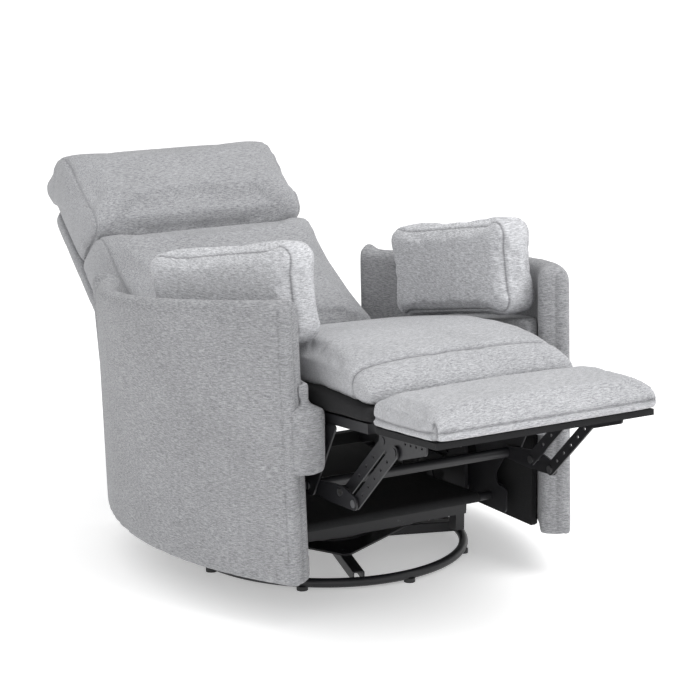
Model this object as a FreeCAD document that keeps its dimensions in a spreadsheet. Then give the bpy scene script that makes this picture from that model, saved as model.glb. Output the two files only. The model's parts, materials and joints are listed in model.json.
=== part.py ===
import FreeCAD, Part
import Sketcher
import math
import os
from types import SimpleNamespace
from FreeCAD import Placement, Rotation, Vector

# Swivel glider recliner, shown with the leg rest out and the back laid down.
# Millimetres. The origin is on the floor, on the swivel axis; the chair faces -Y.

SIZES = {
    # Swivel base
    "ring_radius": 300,
    "ring_tube": 20,
    "glide_height": 6,
    "floor_glide_radius": 12,
    "base_turn": -17.8,
    "spoke_width": 25,
    "spoke_height": 22,
    "spoke_wall": 3,
    "plate_side": 283,
    "plate_thickness": 4,
    "hub_height": 25,
    "hub_radius": 92,
    "washer_radius": 84,
    "washer_thickness": 9,
    "pivot_bolt_radius": 8,
    # Glider frame
    "turret_plate_width": 240,
    "turret_plate_depth": 340,
    "cross_channel_y": 155,
    "cross_channel_width": 40,
    "cross_channel_height": 30,
    "tower_inner_x": 250,
    "tower_top": 232,
    "tower_half_depth": 170,
    "glide_pivot_y": 150,
    "glide_link_length": 100,
    "glide_link_width": 26,
    "stop_leg_gap": 16,
    # Sheet steel and pivots
    "sheet_steel": 4,
    "pin_radius": 5,
    "pin_clearance": 0.08,
    "open_pivot_clearance": 1.5,
    "pin_head": 8,
    "pin_head_height": 2.5,
    "body_gap": 0.4,
    # Chassis under the arms
    "side_plate_x": 267,
    "rail_low": 110,
    "rail_high": 166,
    "rail_half_length": 300,
    "chassis_tube_radius": 9,
    "chassis_tube_y": 240,
    "chassis_tube_z": 136,
    "track_low": 268,
    "track_high": 290,
    "track_front_y": -300,
    "track_length": 350,
    "track_wall": 2.5,
    # Recline pivot and back
    "recline_pivot_y": 20,
    "recline_pivot_z": 330,
    "back_angle": 41,
    "back_foot_y": 357.5,
    "back_foot_z": 259,
    "panel_width": 566,
    "panel_length": 650,
    "panel_thickness": 22,
    "back_frame_depth": 38,
    "lumbar_length": 388,
    "lumbar_width": 586,
    "headrest_length": 270,
    "headrest_width": 552,
    "headrest_tuck": 13,
    "cushion_front": 168,
    # Arms
    "arm_bottom": 90,
    "arm_front_x": 329,
    "arm_front_y": -451,
    "arm_side_x": 462,
    "arm_side_y": -10,
    "arm_rear_x": 360,
    "arm_rear_y": 348,
    "arm_top_front_x": 335,
    "arm_top_front_y": -415,
    "arm_top_side_x": 478,
    "arm_top_side_y": -10,
    "arm_top_rear_x": 372,
    "arm_top_rear_y": 352,
    "arm_top_front": 655,
    "arm_top_rear": 570,
    "arm_wall": 66,
    "arm_rear_wall": 46,
    "arm_edge_radius": 26,
    "arm_end_radius": 12,
    "lining_x": 302,
    "lining_thickness": 12,
    "lining_top": 308,
    "board_gap": 0.6,
    "deck_gap": 1,
    "deck_reach": 12,
    "rear_rail_depth": 20,
    "deck_inner_x": 276,
    "deck_front_y": -436,
    "deck_rear_y": 250,
    "deck_nose_top": 492,
    "deck_step_y": -372,
    "deck_seat_y": -340,
    "deck_seat_top": 526.5,
    "pillow_length": 425,
    "pillow_height": 212,
    "pillow_thickness": 96,
    "pillow_x": 288,
    "pillow_y": -118,
    "pillow_z": 594,
    "pillow_tilt": 10.5,
    "pillow_lean": 8,
    "pillow_turn": 9,
    # Seat
    "seat_plate_x": 243,
    "seat_front_y": -590,
    "seat_rear_y": 186,
    "seat_half_width": 258,
    "seat_slope": 4.5,
    "seat_base_front": 440,
    "seat_frame_height": 20,
    "seat_rail_width": 26,
    "webbing_width": 50,
    # Leg rest linkage, as laid out with the leg rest raised
    "link_a_y": -345,
    "link_a_z": 262,
    "link_b_y": -506,
    "link_b_z": 264,
    "link_c_y": -643,
    "link_c_z": 399,
    "link_d_y": -455.7,
    "link_d_z": 275,
    "link_e_y": -593.3,
    "link_e_z": 408.8,
    "link_width": 25,
    "torsion_tube_radius": 11,
    "bracket_front_y": -742,
    "footrest_rear_y": -597,
    "footrest_front_y": -826,
    "footrest_half_width": 262,
    "footrest_slope": 4.5,
    "footrest_base_z": 440,
    "footrest_thickness": 60,
    "board_thickness": 12,
    "bracket_flange": 24,
}

doc = FreeCAD.newDocument("swivel_glider_recliner")
sheet = doc.addObject("Spreadsheet::Sheet", "sizes")
for row, (alias, value) in enumerate(SIZES.items(), start=1):
    sheet.set(f"A{row}", str(value))
    sheet.setAlias(f"A{row}", alias)
doc.recompute()
S = SimpleNamespace(**{alias: float(sheet.get(alias)) for alias in SIZES})

X_AXIS, Y_AXIS, Z_AXIS = Vector(1, 0, 0), Vector(0, 1, 0), Vector(0, 0, 1)
SIDES = {"left": 1, "right": -1}  # the sitter's left is +X
NODES = []


def node(label, obj):
    """Give a sub-part its name and put it on the list to export."""
    obj.Label = label
    NODES.append(obj)
    return obj


def primitive(kind, name, place=None, **formulas):
    obj = doc.addObject("Part::" + kind, name)
    for prop, formula in formulas.items():
        obj.setExpression(prop, formula)
    if place is not None:
        obj.Placement = place
    return obj


def cut(name, base, tool):
    obj = doc.addObject("Part::Cut", name)
    obj.Base, obj.Tool = base, tool
    return obj


def shaped(label, shape, place=None):
    """A sub-part whose shape comes straight from Part's own functions."""
    obj = doc.addObject("Part::Feature", label)
    obj.Shape = shape
    if place is not None:
        obj.Placement = place
    return node(label, obj)


def at(x=0.0, y=0.0, z=0.0, axis=Z_AXIS, angle=0.0):
    return Placement(Vector(x, y, z), Rotation(axis, angle))


def attach(body, name, role):
    """A sketch on one of the body's own origin planes."""
    sketch = body.newObject("Sketcher::SketchObject", name)
    plane = [f for f in body.Origin.OriginFeatures if f.Role == role][0]
    sketch.AttachmentSupport = [(plane, "")]
    sketch.MapMode = "FlatFace"
    return sketch


def rounded(corners):
    """Lines and tangent arcs round a closed outline of (u, v, radius) corners."""
    points = [Vector(u, v, 0) for u, v, _ in corners]
    starts, ends, arcs = [], [], []
    for i, (_, _, radius) in enumerate(corners):
        here = points[i]
        to_last = (points[i - 1] - here).normalize()
        to_next = (points[(i + 1) % len(points)] - here).normalize()
        half = to_last.getAngle(to_next) / 2
        if radius == 0:
            starts.append(here)
            ends.append(here)
            arcs.append(None)
            continue
        back = radius / math.tan(half)
        first, last = here + to_last * back, here + to_next * back
        centre = here + (to_last + to_next).normalize() * (radius / math.sin(half))
        middle = centre + (here - centre).normalize() * radius
        starts.append(first)
        ends.append(last)
        arcs.append(Part.Arc(first, middle, last))
    geometry = []
    for i, arc in enumerate(arcs):
        if arc is not None:
            geometry.append(arc)
        following = starts[(i + 1) % len(points)]
        if (following - ends[i]).Length > 1e-6:
            geometry.append(Part.LineSegment(ends[i], following))
    return geometry


def capsule(first, last, half_width):
    """A bar with round ends between two pivots."""
    along = (last - first).normalize()
    side = Vector(-along.y, along.x, 0) * half_width
    tip = along * half_width
    return [
        Part.LineSegment(first + side, last + side),
        Part.Arc(last + side, last + tip, last - side),
        Part.LineSegment(last - side, first - side),
        Part.Arc(first - side, first - tip, first + side),
    ]


def plate(label, geometry, holes, x_inner, side, pin=None):
    """An upright steel plate: outline and holes in (Y, Z), laid off from x_inner outwards."""
    body = doc.addObject("PartDesign::Body", label + "_sheet")
    sketch = attach(body, label + "_outline", "YZ_Plane")
    sketch.addGeometry(geometry)
    for u, v, radius in holes:
        sketch.addGeometry(Part.Circle(Vector(u, v, 0), Z_AXIS, 1.0))
        index = sketch.GeometryCount - 1
        mark = sketch.addConstraint(sketcher_radius(index, radius))
        if isinstance(radius, str):
            sketch.setExpression(f"Constraints[{mark}]", radius)
        sketch.addConstraint(Sketcher.Constraint("Block", index))
    pad = body.newObject("PartDesign::Pad", label + "_pad")
    pad.Profile = sketch
    pad.setExpression("Length", "sizes.sheet_steel")
    body.Placement = at(x=x_inner if side > 0 else -x_inner - S.sheet_steel)
    if pin is None:
        return node(label, body)
    rivet = doc.addObject("Part::Feature", label + "_rivet")
    rivet.Shape = pin
    joined = doc.addObject("Part::Fuse", label + "_riveted")
    joined.Base, joined.Tool = body, rivet
    return node(label, joined)


def sketcher_radius(index, radius):
    value = 1.0 if isinstance(radius, str) else radius
    return Sketcher.Constraint("Radius", index, value)


def extrusion(label, role, geometry, length, place):
    """A profile on one of the origin planes, padded along that plane's normal."""
    body = doc.addObject("PartDesign::Body", label)
    sketch = attach(body, label + "_profile", role)
    sketch.addGeometry(geometry)
    pad = body.newObject("PartDesign::Pad", label + "_pad")
    pad.Profile = sketch
    pad.setExpression("Length", length)
    body.Placement = place
    return node(label, body)


def revolution(label, profile, place):
    """A closed (radius, height) profile turned about Z."""
    body = doc.addObject("PartDesign::Body", label)
    sketch = attach(body, label + "_profile", "XZ_Plane")
    sketch.addGeometry(rounded([(r, z, 0) for r, z in profile]))
    turn = body.newObject("PartDesign::Revolution", label + "_turn")
    turn.Profile = sketch
    turn.ReferenceAxis = (sketch, ["V_Axis"])
    turn.Angle = 360
    body.Placement = place
    return node(label, body)


def box(x0, x1, y0, y1, z0, z1):
    return Part.makeBox(x1 - x0, y1 - y0, z1 - z0, Vector(x0, y0, z0))


def stacked_pin(side, y, z, steps):
    """A rivet along X, as (x from, x to, radius) steps fused into one solid."""
    parts = []
    for x0, x1, radius in steps:
        start = Vector(side * x0, y, z)
        parts.append(Part.makeCylinder(radius, x1 - x0, start, X_AXIS * side))
    solid = parts[0].multiFuse(parts[1:]) if len(parts) > 1 else parts[0]
    return solid.removeSplitter()


def mirrored(shape, side):
    return shape if side > 0 else shape.mirror(Vector(0, 0, 0), X_AXIS)


# Levels and layers that follow from the sizes

ring_z = S.glide_height + S.ring_tube / 2
spoke_base = ring_z
spoke_top = spoke_base + S.spoke_height
hub_base = spoke_top + S.plate_thickness
washer_base = hub_base + S.hub_height
turret_base = washer_base + S.washer_thickness + S.body_gap
channel_base = turret_base + S.plate_thickness
channel_top = channel_base + S.cross_channel_height
glide_pivot_z = S.tower_top
chassis_pivot_z = glide_pivot_z - S.glide_link_length

steel = S.sheet_steel
tower_outer = S.tower_inner_x + steel
glide_link_x = tower_outer + steel
glide_link_outer = glide_link_x + steel
side_plate_outer = S.side_plate_x + steel
seat_plate_outer = S.seat_plate_x + steel
lower_link_x = S.seat_plate_x - 2 * steel
front_link_x = lower_link_x - steel - 2
bracket_x = front_link_x - steel - 2
rear_link_x = bracket_x - steel - 2
back_bracket_x = S.side_plate_x - steel - 2
pin_hole = "sizes.pin_radius + sizes.pin_clearance"
open_hole = "sizes.pin_radius + sizes.open_pivot_clearance"


# Swivel base

def make_base():
    ring = primitive("Torus", "ring_bar", Radius1="sizes.ring_radius", Radius2="sizes.ring_tube / 2")
    ring.Placement = at(z=ring_z)
    node("base_ring", ring)

    cross = doc.addObject("PartDesign::Body", "spoke_cross")
    half, wall, tall = S.spoke_width / 2, S.spoke_wall, S.spoke_height
    sketch = attach(cross, "spoke_section", "YZ_Plane")
    sketch.addGeometry(rounded([
        (-half, 0, 0), (-half, tall, 2), (half, tall, 2), (half, 0, 0),
        (half - wall, 0, 0), (half - wall, tall - wall, 0),
        (wall - half, tall - wall, 0), (wall - half, 0, 0),
    ]))
    pad = cross.newObject("PartDesign::Pad", "spoke_pad")
    pad.Profile = sketch
    pad.setExpression("Length", "sizes.ring_radius")
    doc.recompute()
    turn = cross.newObject("PartDesign::PolarPattern", "spoke_pattern")
    turn.Originals = [pad]
    turn.Axis = ([f for f in cross.Origin.OriginFeatures if f.Role == "Z_Axis"][0], [""])
    turn.Angle = 360
    turn.Occurrences = 4
    cross.Tip = turn
    cross.Placement = at(z=spoke_base, angle=S.base_turn)
    ring_tool = primitive("Torus", "ring_tool", at(z=ring_z),
                          Radius1="sizes.ring_radius", Radius2="sizes.ring_tube / 2")
    coped = cut("spokes_coped", cross, ring_tool)
    bolt_room = primitive("Cylinder", "spoke_bolt_room", at(z=spoke_base - 1),
                          Radius="sizes.pivot_bolt_radius * 3", Height="sizes.spoke_height + 2")
    node("base_spokes", cut("spokes_opened", coped, bolt_room))

    side = S.plate_side / 2
    body = doc.addObject("PartDesign::Body", "base_plate")
    sketch = attach(body, "base_plate_outline", "XY_Plane")
    sketch.addGeometry(rounded([(a * side, b * side, 18) for a, b in ((-1, -1), (1, -1), (1, 1), (-1, 1))]))
    sketch.addGeometry(Part.Circle(Vector(0, 0, 0), Z_AXIS, S.pivot_bolt_radius + S.body_gap))
    for a, b in ((-1, -1), (1, -1), (1, 1), (-1, 1)):
        sketch.addGeometry(Part.Circle(Vector(a * (side - 24), b * (side - 24), 0), Z_AXIS, 4.5))
    pad = body.newObject("PartDesign::Pad", "base_plate_pad")
    pad.Profile = sketch
    pad.setExpression("Length", "sizes.plate_thickness")
    body.Placement = at(z=spoke_top, angle=S.base_turn + 45)
    node("base_plate", body)

    r, tall, wall = S.hub_radius, S.hub_height, S.spoke_wall
    mouth = S.pivot_bolt_radius * 3
    revolution("base_hub", [
        (r + 8, 0), (r + 8, wall), (r + wall, wall), (r, tall), (mouth, tall),
        (mouth, tall - wall), (r - wall, tall - wall), (r - wall, wall), (r - wall, 0),
    ], at(z=hub_base))
    revolution("swivel_washer", [
        (mouth + 6, 0), (S.washer_radius, 0), (S.washer_radius, S.washer_thickness),
        (mouth + 6, S.washer_thickness),
    ], at(z=washer_base))

    ring_solid = Part.makeTorus(S.ring_radius, S.ring_tube / 2, Vector(0, 0, ring_z))
    pads = []
    for k in range(8):
        angle = math.radians(S.base_turn + 22.5 + 45 * k)
        centre = Vector(S.ring_radius * math.cos(angle), S.ring_radius * math.sin(angle), 0)
        disc = Part.makeCylinder(S.floor_glide_radius, S.glide_height + 3, centre)
        pads.append(disc.cut(ring_solid))
    shaped("floor_glides", Part.makeCompound(pads))


# Glider frame on the swivel

def channel(label, y, along, width, tall, wall, base):
    """An inverted U channel across the chair, centred on the mirror plane."""
    half = width / 2
    section = rounded([
        (y - half, 0, 0), (y - half, tall, 3), (y + half, tall, 3), (y + half, 0, 0),
        (y + half - wall, 0, 0), (y + half - wall, tall - wall, 0),
        (y - half + wall, tall - wall, 0), (y - half + wall, 0, 0),
    ])
    return extrusion(label, "YZ_Plane", section, along, at(x=-S.tower_inner_x, z=base))


def make_turret():
    half_x, half_y = S.turret_plate_width / 2, S.turret_plate_depth / 2
    body = doc.addObject("PartDesign::Body", "swivel_plate")
    sketch = attach(body, "swivel_plate_outline", "XY_Plane")
    sketch.addGeometry(rounded([
        (-half_x, -half_y, 12), (half_x, -half_y, 12), (half_x, half_y, 12), (-half_x, half_y, 12),
    ]))
    sketch.addGeometry(Part.Circle(Vector(0, 0, 0), Z_AXIS, S.pivot_bolt_radius))
    for a in (-1, 1):
        for b in (-1, 1):
            spot = Vector(a * (half_x - 45), b * (half_y - 75), 0)
            sketch.addGeometry(Part.Circle(spot, Z_AXIS, 22))
    pad = body.newObject("PartDesign::Pad", "swivel_plate_pad")
    pad.Profile = sketch
    pad.setExpression("Length", "sizes.plate_thickness")
    body.Placement = at(z=turret_base)
    node("swivel_plate", body)

    for label, y in (("front_cross_channel", -S.cross_channel_y), ("rear_cross_channel", S.cross_channel_y)):
        channel(label, y, "2 * sizes.tower_inner_x", S.cross_channel_width,
                S.cross_channel_height, 3, channel_base)

    for name, side in SIDES.items():
        y, top = S.tower_half_depth, S.tower_top + 18
        outline = rounded([
            (-y, channel_base, 8), (y, channel_base, 8), (S.glide_pivot_y + 18, top, 14),
            (S.glide_pivot_y - 22, top, 14), (S.glide_pivot_y - 55, top - 62, 20),
            (55 - S.glide_pivot_y, top - 62, 20), (22 - S.glide_pivot_y, top, 14),
            (-S.glide_pivot_y - 18, top, 14),
        ])
        holes = [(s * S.glide_pivot_y, glide_pivot_z, "sizes.pin_radius") for s in (-1, 1)]
        holes += [(s * 62, channel_top + 34, 24) for s in (-1, 1)]
        holes += [(0, channel_top + 34, 24)]
        plate(f"glide_tower_{name}", outline, holes, S.tower_inner_x, side)

    legs = []
    low = ring_z + S.ring_tube / 2 + S.stop_leg_gap
    for side in SIDES.values():
        for s in (-1, 1):
            x0, x1 = sorted((side * (S.tower_inner_x - 22), side * S.tower_inner_x))
            leg = box(x0, x1, s * S.cross_channel_y - 13, s * S.cross_channel_y + 13, low, channel_base)
            bore = box(x0 + 3, x1 - 3, s * S.cross_channel_y - 10, s * S.cross_channel_y + 10,
                       low + 3, channel_base)
            legs.append(leg.cut(bore))
    shaped("tip_stop_legs", Part.makeCompound(legs))

    pins = []
    for side in SIDES.values():
        for s in (-1, 1):
            pins.append(stacked_pin(side, s * S.glide_pivot_y, glide_pivot_z, [
                (S.tower_inner_x - S.pin_head_height, S.tower_inner_x, S.pin_head),
                (S.tower_inner_x, glide_link_outer + 0.4, S.pin_radius),
                (tower_outer, glide_link_x - S.body_gap, S.pin_head),
                (glide_link_outer + S.body_gap, glide_link_outer + S.pin_head_height, S.pin_head),
            ]))
    shaped("glide_top_pins", Part.makeCompound(pins))

    r = S.pivot_bolt_radius
    shank_base = spoke_top - 2
    head = Part.makeCylinder(1.8 * r, 7, Vector(0, 0, shank_base - 7))
    shank = Part.makeCylinder(r, turret_base + S.plate_thickness + 12 - shank_base, Vector(0, 0, shank_base))
    nut_face = Part.Face(Part.Wire(Part.makePolygon(
        [Vector(1.9 * r * math.cos(k * math.pi / 3), 1.9 * r * math.sin(k * math.pi / 3),
                turret_base + S.plate_thickness) for k in range(7)])))
    nut = nut_face.extrude(Vector(0, 0, 9))
    shaped("pivot_bolt", shank.multiFuse([head, nut]).removeSplitter())


def make_glide_links():
    for place, s in (("front", -1), ("rear", 1)):
        for name, side in SIDES.items():
            top = Vector(s * S.glide_pivot_y, glide_pivot_z, 0)
            foot = Vector(s * S.glide_pivot_y, chassis_pivot_z, 0)
            holes = [(top.x, top.y, pin_hole), (foot.x, foot.y, pin_hole if s < 0 else open_hole)]
            plate(f"{place}_glide_link_{name}", capsule(top, foot, S.glide_link_width / 2),
                  holes, glide_link_x, side)


# Chassis under the arms

def make_chassis():
    for name, side in SIDES.items():
        y = S.rail_half_length
        pivot_y, pivot_z = S.recline_pivot_y, S.recline_pivot_z
        outline = rounded([
            (-y, S.rail_low, 10), (y, S.rail_low, 10), (y, S.rail_high, 10),
            (pivot_y + 110, S.rail_high + 10, 30), (pivot_y + 26, pivot_z + 24, 22),
            (pivot_y - 26, pivot_z + 24, 22), (pivot_y - 60, S.track_high + 6, 14),
            (S.track_front_y, S.track_high + 6, 8), (S.track_front_y, S.track_low - 20, 8),
            (-y + 60, S.rail_high, 20), (-y, S.rail_high, 10),
        ])
        holes = [(s * S.glide_pivot_y, chassis_pivot_z, "sizes.pin_radius") for s in (-1, 1)]
        holes += [(pivot_y, pivot_z, "sizes.pin_radius")]
        holes += [(k, 218, 27) for k in (-160, -80, 0)]
        plate(f"chassis_side_plate_{name}", outline, holes, S.side_plate_x, side)

    tubes = []
    for s in (-1, 1):
        start = Vector(-S.side_plate_x, s * S.chassis_tube_y, S.chassis_tube_z)
        rod = Part.makeCylinder(S.chassis_tube_radius, 2 * S.side_plate_x, start, X_AXIS)
        bore = Part.makeCylinder(S.chassis_tube_radius - 2, 2 * S.side_plate_x, start, X_AXIS)
        tubes.append(rod.cut(bore))
    shaped("chassis_cross_tubes", Part.makeCompound(tubes))

    tracks = []
    wall = S.track_wall
    for side in SIDES.values():
        outer = box(seat_plate_outer + 5, S.side_plate_x, S.track_front_y,
                    S.track_front_y + S.track_length, S.track_low, S.track_high)
        groove = box(seat_plate_outer, S.side_plate_x - wall, S.track_front_y - 1,
                     S.track_front_y + S.track_length + 1, S.track_low + wall, S.track_high - wall)
        tracks.append(mirrored(outer.cut(groove), side))
    shaped("seat_tracks", Part.makeCompound(tracks))

    angles = []
    for side in SIDES.values():
        for y in (-0.8 * S.rail_half_length, 0.72 * S.rail_half_length):
            low = S.rail_low + 12
            profile = Part.Face(Part.Wire(Part.makePolygon([
                Vector(side_plate_outer, y, low), Vector(S.lining_x, y, low),
                Vector(S.lining_x, y, low + 32), Vector(S.lining_x - 3, y, low + 32),
                Vector(S.lining_x - 3, y, low + 3), Vector(side_plate_outer + 3, y, low + 3),
                Vector(side_plate_outer + 3, y, low + 32), Vector(side_plate_outer, y, low + 32),
                Vector(side_plate_outer, y, low)])))
            angles.append(mirrored(profile.extrude(Vector(0, 40, 0)), side))
    shaped("arm_brackets", Part.makeCompound(angles))

    pins = []
    for side in SIDES.values():
        for s in (-1, 1):
            pins.append(stacked_pin(side, s * S.glide_pivot_y, chassis_pivot_z, [
                (side_plate_outer, side_plate_outer + S.pin_head_height, S.pin_head),
                (glide_link_x - S.body_gap, side_plate_outer, S.pin_radius),
                (glide_link_outer + S.body_gap, S.side_plate_x, S.pin_head),
                (glide_link_x - S.pin_head_height, glide_link_x - S.body_gap, S.pin_head),
            ]))
        pins.append(stacked_pin(side, S.recline_pivot_y, S.recline_pivot_z, [
            (side_plate_outer, side_plate_outer + S.pin_head_height, S.pin_head + 3),
            (back_bracket_x - S.body_gap, side_plate_outer, S.pin_radius),
            (back_bracket_x + steel + S.body_gap, S.side_plate_x, S.pin_head),
            (back_bracket_x - S.pin_head_height, back_bracket_x - S.body_gap, S.pin_head),
        ]))
    shaped("chassis_pins", Part.makeCompound(pins))


# Arms

def arm_arc(front, middle, rear):
    edge = Part.Arc(Vector(*front, 0), Vector(*middle, 0), Vector(*rear, 0)).toShape()
    return SimpleNamespace(edge=edge, centre=edge.Curve.Center, radius=edge.Curve.Radius)


def arm_arcs():
    low = arm_arc((S.arm_front_x, S.arm_front_y), (S.arm_side_x, S.arm_side_y),
                  (S.arm_rear_x, S.arm_rear_y))
    high = arm_arc((S.arm_top_front_x, S.arm_top_front_y), (S.arm_top_side_x, S.arm_top_side_y),
                   (S.arm_top_rear_x, S.arm_top_rear_y))
    return low, high


def along_arc(arc, t):
    first, last = arc.edge.ParameterRange
    return arc.edge.valueAt(first + t * (last - first))


def ends_of(arc):
    edge = arc.toShape()
    return edge.valueAt(edge.FirstParameter), edge.valueAt(edge.LastParameter)


def arm_top(y):
    t = (y - S.arm_top_front_y) / (S.arm_top_rear_y - S.arm_top_front_y)
    return S.arm_top_front + t * (S.arm_top_rear - S.arm_top_front)


def arm_wall(t):
    return S.arm_wall + t * (S.arm_rear_wall - S.arm_wall)


def soften_ends(shell, radius):
    """Round off the rim of the front and rear end faces."""
    rims = []
    for face in shell.Faces:
        if face.Surface.TypeId == "Part::GeomPlane" and abs(face.normalAt(0, 0).z) < 0.5:
            rims += [e for e in face.Edges if e.BoundBox.ZMax > S.arm_bottom + 1]
    return shell.makeFillet(radius, rims)


def arm_section(low, high, t):
    """Upright slice across the arm wall, with rounded top edges."""
    foot, head = along_arc(low, t), along_arc(high, t)
    foot.z, head.z = S.arm_bottom, arm_top(head.y)
    inward = low.centre - foot
    inward.z = 0
    inward.normalize()
    wall = arm_wall(t)
    radius = min(S.arm_edge_radius, wall / 2 - 2)
    tall = (head - foot).Length
    up = (head - foot).normalize()

    def spot(across, height):
        return foot + up * height + inward * across

    a0, a1, b0, b1 = 0, wall, 0, tall
    k = radius * (1 - math.sqrt(0.5))
    return Part.Wire([
        Part.makeLine(spot(a0, b0), spot(a0, b1 - radius)),
        Part.Arc(spot(a0, b1 - radius), spot(a0 + k, b1 - k), spot(a0 + radius, b1)).toShape(),
        Part.makeLine(spot(a0 + radius, b1), spot(a1 - radius, b1)),
        Part.Arc(spot(a1 - radius, b1), spot(a1 - k, b1 - k), spot(a1, b1 - radius)).toShape(),
        Part.makeLine(spot(a1, b1 - radius), spot(a1, b0)),
        Part.makeLine(spot(a1, b0), spot(a0, b0)),
    ])


def arc_inner_x(arc, y, wall):
    return arc.centre.x + math.sqrt((arc.radius - wall) ** 2 - (y - arc.centre.y) ** 2)


def inner_x(y, z, clear):
    """Where the inner face of the arm wall stands at a height, less a clearance."""
    low, high = arm_arcs()
    near = min(max((y - S.arm_front_y) / (S.arm_rear_y - S.arm_front_y), 0), 1)
    wall = arm_wall(near) + clear
    share = (z - S.arm_bottom) / (arm_top(y) - S.arm_bottom)
    return (1 - share) * arc_inner_x(low, y, wall) + share * arc_inner_x(high, y, wall)


def wall_meets(x, z, direction):
    """How far forward or back a board at x can run before it meets the arm wall."""
    y = 0.0
    while inner_x(y + direction, z, S.board_gap) > x:
        y += direction
    return y


def deck_top(y):
    """The deck rises behind its nose to carry the pillow, then falls away with it."""
    if y <= S.deck_step_y:
        return S.deck_nose_top
    return S.deck_seat_top - math.tan(math.radians(S.pillow_tilt)) * (y - S.deck_seat_y)


def tight_x(y, clear, *heights):
    return min(inner_x(y, z, clear) for z in heights)


def make_arms():
    low, high = arm_arcs()
    lining_outer = S.lining_x + S.lining_thickness
    levels = (S.arm_bottom, S.lining_top)
    lining_front = max(wall_meets(lining_outer, z, -1) for z in levels)
    lining_rear = min(wall_meets(lining_outer, z, 1) for z in levels)
    for name, side in SIDES.items():
        wires = [arm_section(low, high, k / 6) for k in range(7)]
        shell = soften_ends(Part.makeLoft(wires, True, False), S.arm_end_radius)
        shaped(f"arm_shell_{name}", mirrored(shell, side))

        board = box(S.lining_x, lining_outer, lining_front, lining_rear, S.arm_bottom, S.lining_top)
        shaped(f"arm_lining_{name}", mirrored(board, side))

        front, rear = S.deck_front_y, S.deck_rear_y
        outer = Part.Arc(*[Vector(inner_x(y, deck_top(y), -S.deck_reach), y, 0)
                           for y in (front + 60, (front + rear) / 2, rear)])
        start, end = ends_of(outer)
        inner = S.deck_inner_x
        nose = Part.Arc(start, Vector(inner + 14, front + 22, 0), Vector(inner, front + 34, 0))
        outline = Part.Wire([
            outer.toShape(), Part.makeLine(end, Vector(inner, rear, 0)),
            Part.makeLine(Vector(inner, rear, 0), Vector(inner, front + 34, 0)), nose.toShape(),
        ])
        outline.translate(Vector(0, 0, S.lining_top))
        block = Part.Face(outline).extrude(Vector(0, 0, 260))
        keep = Part.Face(Part.Wire(Part.makePolygon([
            Vector(0, front, S.lining_top - 1), Vector(0, rear, S.lining_top - 1),
            Vector(0, rear, deck_top(rear)), Vector(0, S.deck_seat_y, S.deck_seat_top),
            Vector(0, S.deck_step_y, S.deck_nose_top), Vector(0, front, S.deck_nose_top),
            Vector(0, front, S.lining_top - 1)])))
        beside = shell.translated(Vector(-S.deck_gap, 0, 0))
        deck = block.common(keep.extrude(Vector(500, 0, 0))).cut(beside)
        deck = max(deck.Solids, key=lambda solid: solid.Volume)
        shaped(f"side_deck_{name}", mirrored(deck, side))

    rail_y = S.rail_half_length
    shaped("rear_rail", box(-S.lining_x, S.lining_x, rail_y, rail_y + S.rear_rail_depth,
                            S.rail_low - 14, S.rail_high - 10))

    bottoms = []
    for side in SIDES.values():
        y0, y1, x0 = lining_front + 4, lining_rear - 4, lining_outer
        outer = Part.Arc(*[Vector(tight_x(y, S.board_gap, S.arm_bottom, S.arm_bottom + 12), y, 0)
                           for y in (y0, 0, y1)])
        start, end = ends_of(outer)
        outline = Part.Wire([outer.toShape(), Part.makeLine(end, Vector(x0, y1, 0)),
                             Part.makeLine(Vector(x0, y1, 0), Vector(x0, y0, 0)),
                             Part.makeLine(Vector(x0, y0, 0), start)])
        outline.translate(Vector(0, 0, S.arm_bottom))
        bottoms.append(mirrored(Part.Face(outline).extrude(Vector(0, 0, S.lining_thickness)), side))
    shaped("arm_bottoms", Part.makeCompound(bottoms))


# Upholstery sections

def flat_under(cushion, level):
    """Trim what the loft lets sag below the face that the cushion rests on."""
    reach = cushion.BoundBox
    return cushion.cut(box(reach.XMin - 5, reach.XMax + 5, reach.YMin - 5, reach.YMax + 5,
                           level - 60, level))


def padded_section(origin, across, up, half, low, high, crown, corner, bulge=0.0):
    """Closed section of a cushion: flat base, soft corners, crowned top."""
    def spot(a, b):
        return origin + across * a + up * b

    r = corner
    k = r * (1 - math.sqrt(0.5))
    mid = (low + high) / 2
    left, right = -half, half
    return Part.Wire([
        Part.makeLine(spot(left + r, low), spot(right - r, low)),
        Part.Arc(spot(right - r, low), spot(right - k, low + k), spot(right, low + r)).toShape(),
        Part.Arc(spot(right, low + r), spot(right + bulge, mid), spot(right, high - r)).toShape()
        if bulge else Part.makeLine(spot(right, low + r), spot(right, high - r)),
        Part.Arc(spot(right, high - r), spot(right - k, high - k), spot(right - r, high)).toShape(),
        Part.Arc(spot(right - r, high), spot(0, high + crown), spot(left + r, high)).toShape(),
        Part.Arc(spot(left + r, high), spot(left + k, high - k), spot(left, high - r)).toShape(),
        Part.Arc(spot(left, high - r), spot(left - bulge, mid), spot(left, low + r)).toShape()
        if bulge else Part.makeLine(spot(left, high - r), spot(left, low + r)),
        Part.Arc(spot(left, low + r), spot(left + k, low + k), spot(left + r, low)).toShape(),
    ])


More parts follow.
